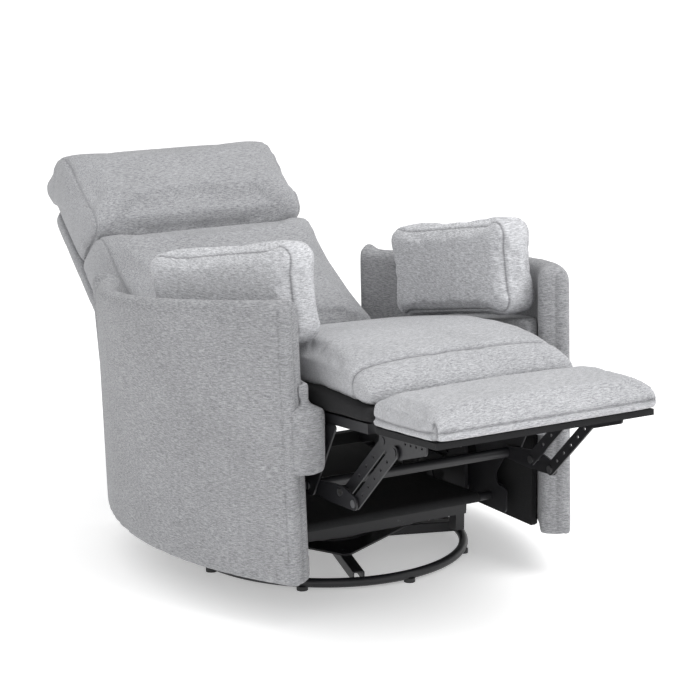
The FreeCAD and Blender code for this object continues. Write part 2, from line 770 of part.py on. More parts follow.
def make_pillows():
    """Loose pillows that stand on the side decks and lean on the arm walls."""
    half_l, tall, thick = S.pillow_length / 2, S.pillow_height, S.pillow_thickness
    for name, side in SIDES.items():
        wires = []
        for t, share, fill in ((-1, 0.84, 0.34), (-0.9, 0.95, 0.66), (-0.5, 0.985, 0.94),
                               (0.0, 0.98, 1.0), (0.5, 0.985, 0.94), (0.9, 0.95, 0.66), (1, 0.84, 0.34)):
            origin = Vector(0, half_l * t, 0)
            half_h, half_t = tall / 2 * share, thick / 2 * fill
            wires.append(padded_section(origin, Z_AXIS, X_AXIS, half_h, -half_t * 0.72, half_t * 0.72,
                                        half_t * 0.28, half_t * 0.5))
        pillow = mirrored(Part.makeLoft(wires, True, False), side)
        turn = Rotation(Z_AXIS, -side * S.pillow_turn).multiply(
            Rotation(X_AXIS, -S.pillow_tilt)).multiply(Rotation(Y_AXIS, side * S.pillow_lean))
        spot = Vector(side * S.pillow_x, S.pillow_y, S.pillow_z)
        shaped(f"arm_pillow_{name}", pillow, Placement(spot, turn))


# Seat carriage

def seat_point(y, height):
    """A point of the sloping seat base, height measured square to it."""
    slope = math.radians(S.seat_slope)
    run = y - S.seat_front_y
    return Vector(0, S.seat_front_y + run * math.cos(slope) + height * math.sin(slope),
                  S.seat_base_front - run * math.sin(slope) + height * math.cos(slope))


def make_seat():
    slope = Placement(seat_point(S.seat_front_y, 0), Rotation(X_AXIS, -S.seat_slope))
    length = S.seat_rear_y - S.seat_front_y
    top = -S.body_gap
    low = top - S.seat_frame_height
    half = S.seat_plate_x
    rail = S.seat_rail_width
    outer = box(-half, half, 24, length - 16, low, top)
    inner = box(-half + rail, half - rail, 24 + rail, length - 16 - rail, low - 1, top + 1)
    tie = box(-half + rail, half - rail, length * 0.52, length * 0.52 + rail, low, top)
    shaped("seat_frame", outer.cut(inner).fuse(tie).removeSplitter(), slope)

    straps = []
    ends = (24 + rail, length * 0.52), (length * 0.52 + rail, length - 16 - rail)
    for start, stop in ends:
        for k in range(3):
            y = start + (stop - start) * (k + 0.5) / 3
            straps.append(box(-half + rail, half - rail, y - S.webbing_width / 2,
                              y + S.webbing_width / 2, top - 3, top))
    shaped("seat_webbing", Part.makeCompound(straps), slope)

    for name, side in SIDES.items():
        front, rear = seat_point(S.link_a_y - 110, low), seat_point(40, low)
        outline = rounded([
            (S.link_a_y - 20, S.link_a_z - 17, 14), (S.link_a_y + 40, S.link_a_z - 17, 14),
            (S.track_front_y + 70, S.track_low + 2, 10), (-20, S.track_low + 2, 10),
            (rear.y - 30, rear.z - 30, 16), (rear.y, rear.z, 6),
            (front.y, front.z, 6), (front.y + 20, front.z - 34, 16),
        ])
        holes = [(S.link_a_y, S.link_a_z, "sizes.pin_radius"),
                 (-250, 345, 26), (-150, 338, 26)]
        plate(f"seat_side_plate_{name}", outline, holes, S.seat_plate_x, side)

    runners = []
    wall = S.track_wall
    for side in SIDES.values():
        bar = box(seat_plate_outer, S.side_plate_x - wall - S.body_gap, S.track_front_y + 25,
                  S.track_front_y + 235, S.track_low + wall + S.body_gap,
                  S.track_high - wall - S.body_gap)
        runners.append(mirrored(bar, side))
    shaped("slide_runners", Part.makeCompound(runners))

    pins = []
    for side in SIDES.values():
        pins.append(stacked_pin(side, S.link_a_y, S.link_a_z, [
            (seat_plate_outer, seat_plate_outer + S.pin_head_height, S.pin_head),
            (lower_link_x - 2, seat_plate_outer, S.pin_radius),
            (lower_link_x + steel + S.body_gap, S.seat_plate_x, S.pin_head),
        ]))
    shaped("seat_pins", Part.makeCompound(pins))

    profile = (  # distance from the front edge, half width share, underside, edge height, crown
        (0, 0.925, 8, 40, 6), (12, 0.965, 2, 52, 14), (50, 0.99, 0, 66, 20),
        (150, 1.0, 0, 84, 24), (300, 1.0, 0, 92, 24), (450, 1.0, 0, 88, 22),
        (600, 0.995, 0, 70, 16), (720, 0.985, 0, 48, 10), (length - 12, 0.97, 2, 36, 6),
        (length, 0.95, 6, 28, 3),
    )
    wires = []
    for run, share, under, edge, crown in profile:
        wires.append(padded_section(Vector(0, run, 0), X_AXIS, Z_AXIS, S.seat_half_width * share,
                                    under, edge, crown, min(18, (edge - under) * 0.3)))
    shaped("seat_cushion", flat_under(Part.makeLoft(wires, True, False), 0), slope)


# Leg rest

def pivot(letter):
    return Vector(getattr(S, f"link_{letter}_y"), getattr(S, f"link_{letter}_z"), 0)


def strip_holes(first, last, count, margin, radius):
    """Evenly spaced holes along a perforated link."""
    along = last - first
    span = along.Length
    along.normalize()
    return [((first + along * d).x, (first + along * d).y, radius)
            for d in [margin + (span - 2 * margin) * k / (count - 1) for k in range(count)]]


def make_leg_rest():
    a, b, c, d, e = (pivot(letter) for letter in "abcde")
    half = S.link_width / 2
    for name, side in SIDES.items():
        mid = (a + b) * 0.5
        outline = rounded([
            (a.x + half, a.y - half, 11), (a.x + half, a.y + half, 11),
            (d.x + 22, d.y + 12, 12), (d.x - 12, d.y + 14, 12), (b.x - half, b.y + half, 12),
            (b.x - half, b.y - half, 12), (mid.x, mid.y - half - 4, 60),
        ])
        holes = [(a.x, a.y, pin_hole), (b.x, b.y, "sizes.pin_radius"), (d.x, d.y, "sizes.pin_radius")]
        plate(f"lower_link_{name}", outline, holes, lower_link_x, side)

        front_outer = front_link_x + steel
        pin = stacked_pin(side, c.x, c.y, [
            (bracket_x - 0.6, front_outer, S.pin_radius),
            (bracket_x + steel + S.body_gap, front_link_x, S.pin_head),
            (front_outer, front_outer + 1.6, S.pin_head),
        ])
        holes = [(b.x, b.y, pin_hole)] + strip_holes(b, c, 5, 34, 3.5)
        plate(f"front_leg_link_{name}", capsule(b, c, half), holes, front_link_x, side, pin)

        holes = [(d.x, d.y, pin_hole), (e.x, e.y, open_hole)]
        holes += strip_holes(d, e, 3, 60, 3.5)
        plate(f"rear_leg_link_{name}", capsule(d, e, half), holes, rear_link_x, side)

    reach = lower_link_x
    tube = Part.makeCylinder(S.torsion_tube_radius, 2 * reach, Vector(-reach, a.x, a.y), X_AXIS)
    bore = Part.makeCylinder(S.torsion_tube_radius - 2.5, 2 * reach, Vector(-reach, a.x, a.y), X_AXIS)
    shaped("torsion_tube", tube.cut(bore))

    pins = []
    for side in SIDES.values():
        outer = lower_link_x + steel
        pins.append(stacked_pin(side, b.x, b.y, [
            (outer, outer + S.pin_head_height - 1, S.pin_head),
            (front_link_x - S.body_gap, outer, S.pin_radius),
            (front_link_x + steel + S.body_gap, lower_link_x, S.pin_head),
            (front_link_x - S.pin_head_height, front_link_x - S.body_gap, S.pin_head),
        ]))
        pins.append(stacked_pin(side, d.x, d.y, [
            (outer, outer + S.pin_head_height - 1, S.pin_head),
            (rear_link_x - S.body_gap, outer, S.pin_radius),
            (rear_link_x + steel + S.body_gap, lower_link_x, S.pin_radius + 0.6),
            (rear_link_x - S.pin_head_height, rear_link_x - S.body_gap, S.pin_head),
        ]))
    shaped("lower_link_pins", Part.makeCompound(pins))


def footrest_place():
    return Placement(Vector(0, S.footrest_rear_y, S.footrest_base_z), Rotation(X_AXIS, -S.footrest_slope))


def make_footrest():
    place = footrest_place()
    depth = S.footrest_rear_y - S.footrest_front_y
    half = S.footrest_half_width
    board = box(-half + 14, half - 14, -depth + 16, -6, -S.board_thickness - S.body_gap, -S.body_gap)
    shaped("footrest_board", board, place)

    slope = math.radians(S.footrest_slope)
    under = -S.board_thickness - S.body_gap

    def board_spot(y, drop):
        run = y - S.footrest_rear_y
        level = under - drop
        return (S.footrest_rear_y + run * math.cos(slope) + level * math.sin(slope),
                S.footrest_base_z - run * math.sin(slope) + level * math.cos(slope))

    c, e = pivot("c"), pivot("e")
    for name, side in SIDES.items():
        corners = [
            (*board_spot(S.bracket_front_y, 0), 2), (*board_spot(S.bracket_front_y, S.bracket_flange), 8),
            (c.x - 14, c.y - 13, 10), (c.x + 12, c.y - 13, 10), (e.x + 12, e.y - 12, 10),
            (*board_spot(e.x + 14, 0), 2),
        ]
        holes = [(c.x, c.y, pin_hole)]
        for k in range(4):
            y, z = board_spot(S.bracket_front_y + 14 + 19 * k, 12)
            holes.append((y, z, 3.2))
        pin = stacked_pin(side, e.x, e.y, [
            (bracket_x + steel, bracket_x + steel + 1.4, S.pin_head),
            (rear_link_x - S.body_gap, bracket_x + steel, S.pin_radius),
            (rear_link_x + steel + S.body_gap, bracket_x, S.pin_head),
            (rear_link_x - S.pin_head_height, rear_link_x - S.body_gap, S.pin_head + 1),
        ])
        plate(f"footrest_bracket_{name}", rounded(corners), holes, bracket_x, side, pin)

    profile = (  # distance forward, half width share, underside, edge height, crown
        (0, 0.955, 6, 36, 4), (10, 0.985, 1, 46, 9), (45, 1.0, 0, 54, 14), (120, 1.0, 0, 54, 15),
        (190, 1.0, 0, 50, 13), (228, 0.985, 1, 42, 9), (depth, 0.955, 8, 32, 4),
    )
    thick = S.footrest_thickness / 60
    wires = []
    for run, share, under_z, edge, crown in profile:
        wires.append(padded_section(Vector(0, -run, 0), X_AXIS, Z_AXIS, half * share, under_z,
                                    edge * thick, crown, min(12, (edge - under_z) * 0.3)))
    shaped("footrest_cushion", flat_under(Part.makeLoft(wires, True, False), 0), place)


# Back

def back_place():
    """Local X across, Y up the back, Z square to it towards the sitter."""
    return Placement(Vector(0, S.back_foot_y, S.back_foot_z), Rotation(X_AXIS, S.back_angle))


def make_back():
    place = back_place()
    half_p = S.panel_width / 2
    geometry = rounded([(-half_p, -55, 10), (half_p, -55, 10), (half_p - 8, S.panel_length - 55, 60),
                        (8 - half_p, S.panel_length - 55, 60)])
    face = Part.Face(Part.Wire([g.toShape() for g in geometry]))
    panel = face.extrude(Vector(0, 0, S.panel_thickness))
    shaped("back_panel", panel, place)

    half, low, high = back_bracket_x, -30, S.panel_length - 75
    z0, z1 = S.panel_thickness, S.panel_thickness + S.back_frame_depth
    rails = box(-half, half, low, high, z0, z1)
    for y0, y1 in ((low + 40, 155), (185, 345), (375, high - 40)):
        for x0, x1 in ((-half + 52, -50), (-20, 20), (50, half - 52)):
            rails = rails.cut(box(x0, x1, y0, y1, z0 - 1, z1 + 1))
    shaped("back_frame", rails, place)

    pivot_world = Vector(0, S.recline_pivot_y, S.recline_pivot_z)
    for name, side in SIDES.items():
        foot = place.multVec(Vector(0, 70, z0 + 19))
        head = place.multVec(Vector(0, 10, z0 + 17))
        p = Vector(pivot_world.y, pivot_world.z, 0)
        first, last = Vector(foot.y, foot.z, 0), Vector(head.y, head.z, 0)
        outline = rounded([
            (p.x - 22, p.y - 6, 16), (p.x + 4, p.y - 24, 16), (last.x - 26, last.y - 26, 40),
            (last.x + 12, last.y - 8, 12), (first.x + 12, first.y + 2, 12),
            (first.x - 16, first.y + 14, 12), (last.x - 44, last.y + 22, 40),
            (p.x + 10, p.y + 22, 18), (p.x - 18, p.y + 18, 16),
        ])
        plate(f"back_bracket_{name}", outline, [(p.x, p.y, pin_hole)], back_bracket_x, side)

    base = z1 + S.body_gap
    front = S.cushion_front

    def back_cushion(start, length, width, stations):
        wires = []
        for t, share, depth, crown, under in stations:
            high = base + (front - base) * depth
            wires.append(padded_section(
                Vector(0, start + length * t, 0), X_AXIS, Z_AXIS, width / 2 * share, under,
                high, crown, min(30, (front - base) * depth * 0.32)))
        return Part.makeLoft(wires, True, False)

    lumbar = back_cushion(0, S.lumbar_length, S.lumbar_width, (
        (0, 0.84, 0.95, 10, base), (0.03, 0.87, 1.22, 24, base), (0.12, 0.89, 1.42, 36, base),
        (0.35, 0.94, 1.38, 38, base), (0.6, 0.985, 1.25, 34, base), (0.85, 1.0, 1.02, 26, base),
        (0.96, 0.975, 0.8, 16, base), (1, 0.93, 0.6, 8, base)))
    shaped("lumbar_cushion", flat_under(lumbar, base), place)

    tuck = -S.headrest_tuck
    headrest = back_cushion(S.lumbar_length + 4, S.headrest_length, S.headrest_width, (
        (0, 0.93, 0.6, 8, 0), (0.05, 0.975, 0.85, 16, 0), (0.2, 1.0, 1.02, 26, 0),
        (0.5, 1.0, 1.06, 28, 0), (0.76, 1.0, 0.98, 24, tuck), (0.92, 0.975, 0.74, 16, tuck),
        (0.98, 0.955, 0.5, 8, tuck + 6), (1, 0.92, 0.28, 4, tuck + 22)))
    behind = box(-S.panel_width, S.panel_width, 0, S.panel_length - 55 + S.board_gap, -100, base)
    shaped("headrest_cushion", headrest.cut(behind), place)


make_base()
make_turret()
make_glide_links()
make_chassis()
make_arms()
make_pillows()
make_seat()
make_leg_rest()
make_footrest()
make_back()
doc.recompute()

# Check everything before writing anything

faults = [o.Label for o in doc.Objects if {"Invalid", "Error"} & set(o.State)]
labels = [o.Label for o in NODES]
faults += [o.Label for o in NODES if o.Shape.isNull() or not o.Shape.isValid()]
faults += [name for name in set(labels) if labels.count(name) > 1]
if faults:
    raise SystemExit(f"faulty: {sorted(set(faults))}")

os.makedirs("parts", exist_ok=True)
for obj in NODES:
    obj.Shape.exportStep(f"parts/{obj.Label}.step")
print(len(NODES), "sub-parts written")
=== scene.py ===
import json
import math
import bpy
import bmesh
import numpy as np
from mathutils import Matrix, Vector


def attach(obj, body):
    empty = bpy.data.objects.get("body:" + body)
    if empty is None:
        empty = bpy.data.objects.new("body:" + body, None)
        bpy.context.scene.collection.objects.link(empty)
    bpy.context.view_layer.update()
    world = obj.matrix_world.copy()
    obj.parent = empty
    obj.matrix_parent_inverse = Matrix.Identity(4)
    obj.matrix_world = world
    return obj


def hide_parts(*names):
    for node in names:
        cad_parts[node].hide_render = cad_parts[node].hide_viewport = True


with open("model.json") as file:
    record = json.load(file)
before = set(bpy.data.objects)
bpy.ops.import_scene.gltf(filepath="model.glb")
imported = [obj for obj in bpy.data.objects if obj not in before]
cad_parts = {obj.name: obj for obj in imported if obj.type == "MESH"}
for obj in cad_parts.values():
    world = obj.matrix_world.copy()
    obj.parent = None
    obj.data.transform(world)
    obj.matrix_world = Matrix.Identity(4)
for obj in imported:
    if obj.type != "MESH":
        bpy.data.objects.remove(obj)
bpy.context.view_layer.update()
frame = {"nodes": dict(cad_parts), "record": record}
cadNodes = frame["nodes"]
print("frame loaded:", len(cadNodes), "nodes")


# small tools

def linkObject(name, bm):
    mesh = bpy.data.meshes.new(name)
    bm.to_mesh(mesh)
    bm.free()
    obj = bpy.data.objects.new(name, mesh)
    bpy.context.scene.collection.objects.link(obj)
    return obj


def copyOfNode(nodeName, name):
    bm = bmesh.new()
    bm.from_mesh(cadNodes[nodeName].data)
    bmesh.ops.remove_doubles(bm, verts=bm.verts[:], dist=0.00002)
    bmesh.ops.recalc_face_normals(bm, faces=bm.faces[:])
    return linkObject(name, bm)


def applyModifiers(obj):
    graph = bpy.context.evaluated_depsgraph_get()
    mesh = bpy.data.meshes.new_from_object(obj.evaluated_get(graph))
    obj.modifiers.clear()
    old = obj.data
    obj.data = mesh
    bpy.data.meshes.remove(old)
    mesh.name = obj.name


def voxelRemesh(obj, size):
    remesh = obj.modifiers.new("remesh", "REMESH")
    remesh.mode = "VOXEL"
    remesh.voxel_size = size
    applyModifiers(obj)


def smoothOut(obj, factor, rounds):
    smooth = obj.modifiers.new("smooth", "SMOOTH")
    smooth.factor = factor
    smooth.iterations = rounds
    applyModifiers(obj)


def subdivide(obj):
    fine = obj.modifiers.new("fine", "SUBSURF")
    fine.levels = fine.render_levels = 1
    applyModifiers(obj)


def pointsOf(obj):
    flat = np.empty(len(obj.data.vertices) * 3)
    obj.data.vertices.foreach_get("co", flat)
    return flat.reshape(-1, 3)


def normalsOf(obj):
    flat = np.empty(len(obj.data.vertices) * 3)
    obj.data.vertices.foreach_get("normal", flat)
    return flat.reshape(-1, 3)


def setPoints(obj, points):
    obj.data.vertices.foreach_set("co", points.ravel())
    obj.data.update()


def shadeSmooth(obj):
    for face in obj.data.polygons:
        face.use_smooth = True


clothSim = {"quality": 4, "stiffness": 12, "frames": 20}


# cloth under inside pressure, each point moving at most cap
def puffUp(obj, pressure, cap, held=None):
    start = pointsOf(obj).copy()
    cloth = obj.modifiers.new("cloth", "CLOTH")
    cloth.settings.use_pressure = True
    cloth.settings.uniform_pressure_force = pressure
    cloth.settings.effector_weights.gravity = 0
    cloth.settings.quality = clothSim["quality"]
    cloth.settings.tension_stiffness = cloth.settings.compression_stiffness = clothSim["stiffness"]
    if held is not None:
        group = obj.vertex_groups.new(name="held")
        group.add([int(i) for i in np.nonzero(held(start))[0]], 1.0, "REPLACE")
        cloth.settings.vertex_group_mass = "held"
    for frameNumber in range(1, clothSim["frames"] + 1):
        bpy.context.scene.frame_set(frameNumber)
    graph = bpy.context.evaluated_depsgraph_get()
    blown = obj.evaluated_get(graph).to_mesh()
    flat = np.empty(len(blown.vertices) * 3)
    blown.vertices.foreach_get("co", flat)
    obj.evaluated_get(graph).to_mesh_clear()
    obj.modifiers.clear()
    obj.vertex_groups.clear()
    bpy.context.scene.frame_set(1)
    move = flat.reshape(-1, 3) - start
    far = np.linalg.norm(move, axis=1, keepdims=True)
    setPoints(obj, start + move * np.minimum(1, cap / np.maximum(far, 1e-9)))


def shrinkIn(obj, amount):
    setPoints(obj, pointsOf(obj) - normalsOf(obj) * amount)


# places of the sloping parts, as the frame has them

def tilted(origin, angle):
    return Matrix.Translation(origin) @ Matrix.Rotation(math.radians(angle), 4, "X")


seatPlace = tilted((0, -0.590, 0.440), -4.5)
footPlace = tilted((0, -0.597, 0.440), -4.5)
backPlace = tilted((0, 0.3575, 0.259), 41)

# the pillows' places are given, each turned its own way
pillowTilt = -10.7
pillowSpots = {"left": {"centre": (0.265, -0.122, 0.615), "turn": 3},
               "right": {"centre": (-0.288, -0.118, 0.611), "turn": 17}}


def pillowPlace(sideName):
    spot = pillowSpots[sideName]
    turn = Matrix.Rotation(math.radians(spot["turn"]), 4, "Z")
    return tilted(spot["centre"], pillowTilt) @ turn


def localPoints(points, place):
    back = np.array(place.inverted())
    return points @ back[:3, :3].T + back[:3, 3]


# a seam's painted shade line, darkening its groove, is this share of its groove's width
shadeLineShare = 0.45


# each seam is a plane in the piece's own frame: its axis and level, width, depth and where it runs; dark
# sets the strength of the painted shade in its groove
def sewSeams(obj, place, seams):
    points = pointsOf(obj)
    local = localPoints(points, place)
    seamShadeMark = np.zeros(len(points))
    sink = np.zeros(len(points))
    for seam in seams:
        away = np.abs(local[:, seam["axis"]] - seam["level"])
        if "lean" in seam:
            other, slope = seam["lean"]
            off = local[:, seam["axis"]] - seam["level"] - slope * local[:, other]
            away = np.abs(off) / math.hypot(1, slope)
        runs = seam["runs"](local) if "runs" in seam else 1.0
        near = np.exp(-(away / seam["width"]) ** 2) * runs
        sink = np.maximum(sink, near * seam["depth"])
        # painted shade: a dark line along the bottom of each groove, kept in the seam attribute
        line = np.exp(-(away / (seam["width"] * shadeLineShare)) ** 2) * runs
        seamShadeMark = np.maximum(seamShadeMark, line * seam.get("dark", 1.0))
    setPoints(obj, points - normalsOf(obj) * sink[:, None])
    layer = obj.data.attributes.get("seam") or obj.data.attributes.new("seam", "FLOAT", "POINT")
    layer.data.foreach_set("value", seamShadeMark.astype(np.float32))


# shared shader effects

def newGroup(name, inputs, outputs):
    group = bpy.data.node_groups.new(name, "ShaderNodeTree")
    for label, kind, value in inputs:
        socket = group.interface.new_socket(name=label, in_out="INPUT", socket_type="NodeSocket" + kind)
        socket.default_value = value
    for label, kind in outputs:
        group.interface.new_socket(name=label, in_out="OUTPUT", socket_type="NodeSocket" + kind)
    return group, group.nodes.new("NodeGroupInput"), group.nodes.new("NodeGroupOutput")


def addNode(tree, kind, **settings):
    made = tree.nodes.new("ShaderNode" + kind)
    for key, value in settings.items():
        setattr(made, key, value)
    return made


def mathNode(tree, operation, first, second):
    made = addNode(tree, "Math", operation=operation)
    for socket, value in zip(made.inputs, (first, second)):
        if isinstance(value, (int, float)):
            socket.default_value = value
        else:
            tree.links.new(value, socket)
    return made.outputs[0]


def noiseNode(tree, vector, scale, detail=2.0, roughness=0.5):
    made = addNode(tree, "TexNoise")
    made.inputs["Scale"].default_value = scale
    made.inputs["Detail"].default_value = detail
    made.inputs["Roughness"].default_value = roughness
    tree.links.new(vector, made.inputs["Vector"])
    return made.outputs["Fac"]


def spread(tree, value, low, high, start=0.0, stop=1.0):
    made = addNode(tree, "MapRange")
    for label, number in zip(("From Min", "From Max", "To Min", "To Max"), (low, high, start, stop)):
        made.inputs[label].default_value = number
    tree.links.new(value, made.inputs["Value"])
    return made.outputs["Result"]


def mixColours(tree, factor, first, second, blend="MIX"):
    made = addNode(tree, "Mix", data_type="RGBA", blend_type=blend)
    for socket, value in zip((made.inputs[0], made.inputs[6], made.inputs[7]), (factor, first, second)):
        if isinstance(value, (int, float)):
            socket.default_value = value
        elif isinstance(value, tuple):
            socket.default_value = (*value, 1)
        else:
            tree.links.new(value, socket)
    return made.outputs[2]


weaveLook = {
    "swayScale": 9, "sway": (0.012, 0.012, 0.012), "slubRoughness": 0.6, "grainScale": 700,
    "blotchScale": 280, "pileScale": 7, "slubRange": (0.34, 0.66), "grainRange": (0.3, 0.7),
    "blotchRange": (0.32, 0.68), "slubShare": 0.56, "grainShare": 0.30, "blotchShare": 0.14,
    "slubHeight": 0.6, "grainHeight": 0.4, "shadeRange": (0.3, 0.7, 0.95, 1.05),
}


def makeChenilleWeave():
    look = weaveLook
    group, start, end = newGroup(
        "chenilleWeave",
        [("Vector", "Vector", (0, 0, 0)), ("Thread Run", "Vector", (90, 90, 420))],
        [("Tone", "Float"), ("Height", "Float"), ("Shade", "Float")])
    sway = addNode(group, "TexNoise")
    sway.inputs["Scale"].default_value = look["swayScale"]
    sway.inputs["Detail"].default_value = 1
    group.links.new(start.outputs["Vector"], sway.inputs["Vector"])
    shift = addNode(group, "VectorMath", operation="MULTIPLY_ADD")
    shift.inputs[1].default_value = look["sway"]
    group.links.new(sway.outputs["Color"], shift.inputs[0])
    group.links.new(start.outputs["Vector"], shift.inputs[2])
    stretch = addNode(group, "VectorMath", operation="MULTIPLY")
    group.links.new(shift.outputs[0], stretch.inputs[0])
    group.links.new(start.outputs["Thread Run"], stretch.inputs[1])
    slubs = noiseNode(group, stretch.outputs[0], 1.0, 2.0, look["slubRoughness"])
    grain = noiseNode(group, start.outputs["Vector"], look["grainScale"], 1.0)
    blotch = noiseNode(group, start.outputs["Vector"], look["blotchScale"])
    pile = noiseNode(group, start.outputs["Vector"], look["pileScale"])
    slubTone = spread(group, slubs, *look["slubRange"])
    grainTone = spread(group, grain, *look["grainRange"])
    blotchTone = spread(group, blotch, *look["blotchRange"])
    tone = mathNode(group, "ADD", mathNode(group, "MULTIPLY", slubTone, look["slubShare"]),
                    mathNode(group, "ADD", mathNode(group, "MULTIPLY", grainTone, look["grainShare"]),
                             mathNode(group, "MULTIPLY", blotchTone, look["blotchShare"])))
    group.links.new(tone, end.inputs["Tone"])
    height = mathNode(group, "ADD", mathNode(group, "MULTIPLY", slubTone, look["slubHeight"]),
                      mathNode(group, "MULTIPLY", grainTone, look["grainHeight"]))
    group.links.new(height, end.inputs["Height"])
    group.links.new(spread(group, pile, *look["shadeRange"]), end.inputs["Shade"])
    return group


wearLook = {"scale": 38, "detail": 5.0, "roughness": 0.62, "edge": 0.82, "reach": 0.24, "contrast": 14.0,
            "grainScale": 900}


def makeWearMask():
    group, start, end = newGroup(
        "wearMask", [("Vector", "Vector", (0, 0, 0)), ("Amount", "Float", 0.5)],
        [("Mask", "Float"), ("Grain", "Float")])
    coarse = noiseNode(group, start.outputs["Vector"], wearLook["scale"], wearLook["detail"],
                       wearLook["roughness"])
    reach = mathNode(group, "MULTIPLY", start.outputs["Amount"], wearLook["reach"])
    edge = mathNode(group, "SUBTRACT", wearLook["edge"], reach)
    over = mathNode(group, "SUBTRACT", coarse, edge)
    mask = mathNode(group, "MULTIPLY", over, wearLook["contrast"])
    clamp = addNode(group, "Clamp")
    group.links.new(mask, clamp.inputs["Value"])
    group.links.new(clamp.outputs[0], end.inputs["Mask"])
    grain = noiseNode(group, start.outputs["Vector"], wearLook["grainScale"])
    group.links.new(grain, end.inputs["Grain"])
    return group


chenilleWeave = makeChenilleWeave()
wearMask = makeWearMask()


def newMaterial(name, roughness):
    material = bpy.data.materials.new(name)
    material.use_nodes = True
    tree = material.node_tree
    shader = tree.nodes["Principled BSDF"]
    shader.inputs["Roughness"].default_value = roughness
    where = addNode(tree, "TexCoord").outputs["Object"]
    return material, tree, shader, where


def addBump(tree, shader, height, strength, distance):
    bump = addNode(tree, "Bump")
    bump.inputs["Strength"].default_value = strength
    bump.inputs["Distance"].default_value = distance
    tree.links.new(height, bump.inputs["Height"])
    tree.links.new(bump.outputs[0], shader.inputs["Normal"])


# the near-black in this table is painted shade for the seam grooves
chenille = {"dark": (0.185, 0.187, 0.199), "light": (0.655, 0.66, 0.68), "seamShade": (0.07, 0.07, 0.075),
            "seamShadeShare": 0.6, "roughness": 0.92, "sheen": 0.15, "sheenRoughness": 0.5, "specular": 0.2,
            "bump": 0.55, "bumpDepth": 0.0016}


def makeChenille(name, threadRun, paintedLightGain):
    material, tree, shader, where = newMaterial(name, chenille["roughness"])
    shader.inputs["Sheen Weight"].default_value = chenille["sheen"]
    shader.inputs["Sheen Roughness"].default_value = chenille["sheenRoughness"]
    shader.inputs["Specular IOR Level"].default_value = chenille["specular"]
    weave = addNode(tree, "Group", node_tree=chenilleWeave)
    weave.inputs["Thread Run"].default_value = threadRun
    tree.links.new(where, weave.inputs["Vector"])
    # painted light and shade: dark and light are scaled by the part's gain
    dark, light = (tuple(paintedLightGain * c for c in chenille[key]) for key in ("dark", "light"))
    colour = mixColours(tree, weave.outputs["Tone"], dark, light)
    shaded = addNode(tree, "VectorMath", operation="SCALE")
    tree.links.new(colour, shaded.inputs[0])
    tree.links.new(weave.outputs["Shade"], shaded.inputs["Scale"])
    # painted shade: the seam attribute pulls the colour towards near-black along the seam grooves
    seam = addNode(tree, "Attribute", attribute_name="seam")
    dim = mathNode(tree, "MULTIPLY", seam.outputs["Fac"], chenille["seamShadeShare"])
    seamShaded = mixColours(tree, dim, shaded.outputs[0], chenille["seamShade"])
    tree.links.new(seamShaded, shader.inputs["Base Color"])
    addBump(tree, shader, weave.outputs["Height"], chenille["bump"], chenille["bumpDepth"])
    return material


uprightThreads, flatThreads = (100, 100, 760), (100, 760, 760)
# painted light and shade: one grey chenille in four copies, each gain brightening or darkening it to how
# lit that part stands
paintedLightGains = {"arm": 0.68, "seat": 0.97, "back": 0.84, "pillow": 1.2}
armChenille = makeChenille("arm_chenille", uprightThreads, paintedLightGains["arm"])
seatChenille = makeChenille("seat_chenille", flatThreads, paintedLightGains["seat"])
backChenille = makeChenille("back_chenille", flatThreads, paintedLightGains["back"])
pillowChenille = makeChenille("pillow_chenille", uprightThreads, paintedLightGains["pillow"])


paintLook = {"roughness": 0.42, "metallic": 0.0, "wear": 0.55, "plain": (0.012, 0.012, 0.014),
             "worn": (0.045, 0.045, 0.048), "roughRange": (0.2, 0.8, 0.32, 0.5), "bump": 0.15,
             "bumpDepth": 0.0004}
zincLook = {"roughness": 0.3, "metallic": 1.0, "wear": 0.8, "plain": (0.33, 0.33, 0.34),
            "worn": (0.2, 0.19, 0.18), "roughRange": (0.2, 0.8, 0.25, 0.45)}


def makeSteel(name, look):
    material, tree, shader, where = newMaterial(name, look["roughness"])
    shader.inputs["Metallic"].default_value = look["metallic"]
    wear = addNode(tree, "Group", node_tree=wearMask)
    wear.inputs["Amount"].default_value = look["wear"]
    tree.links.new(where, wear.inputs["Vector"])
    tree.links.new(mixColours(tree, wear.outputs["Mask"], look["plain"], look["worn"]),
                   shader.inputs["Base Color"])
    tree.links.new(spread(tree, wear.outputs["Grain"], *look["roughRange"]), shader.inputs["Roughness"])
    if "bump" in look:
        addBump(tree, shader, wear.outputs["Grain"], look["bump"], look["bumpDepth"])
    return material


nylonLook = {"roughness": 0.5, "grainScale": 700, "grainDetail": 3.0, "dark": (0.014, 0.014, 0.015),
             "light": (0.03, 0.03, 0.031), "bump": 0.25, "bumpDepth": 0.0003}


def makeNylon():
    look = nylonLook
    material, tree, shader, where = newMaterial("black_nylon", look["roughness"])
    grain = noiseNode(tree, where, look["grainScale"], look["grainDetail"])
    tree.links.new(mixColours(tree, grain, look["dark"], look["light"]), shader.inputs["Base Color"])
    addBump(tree, shader, grain, look["bump"], look["bumpDepth"])
    return material


liningLook = {"roughness": 0.95, "threadRun": (500, 240, 900), "dark": (0.004, 0.004, 0.005),
              "light": (0.014, 0.014, 0.015), "bump": 0.3, "bumpDepth": 0.0006}


def makeLining():
    look = liningLook
    material, tree, shader, where = newMaterial("black_lining", look["roughness"])
    weave = addNode(tree, "Group", node_tree=chenilleWeave)
    weave.inputs["Thread Run"].default_value = look["threadRun"]
    tree.links.new(where, weave.inputs["Vector"])
    tree.links.new(mixColours(tree, weave.outputs["Tone"], look["dark"], look["light"]),
                   shader.inputs["Base Color"])
    addBump(tree, shader, weave.outputs["Height"], look["bump"], look["bumpDepth"])
    return material


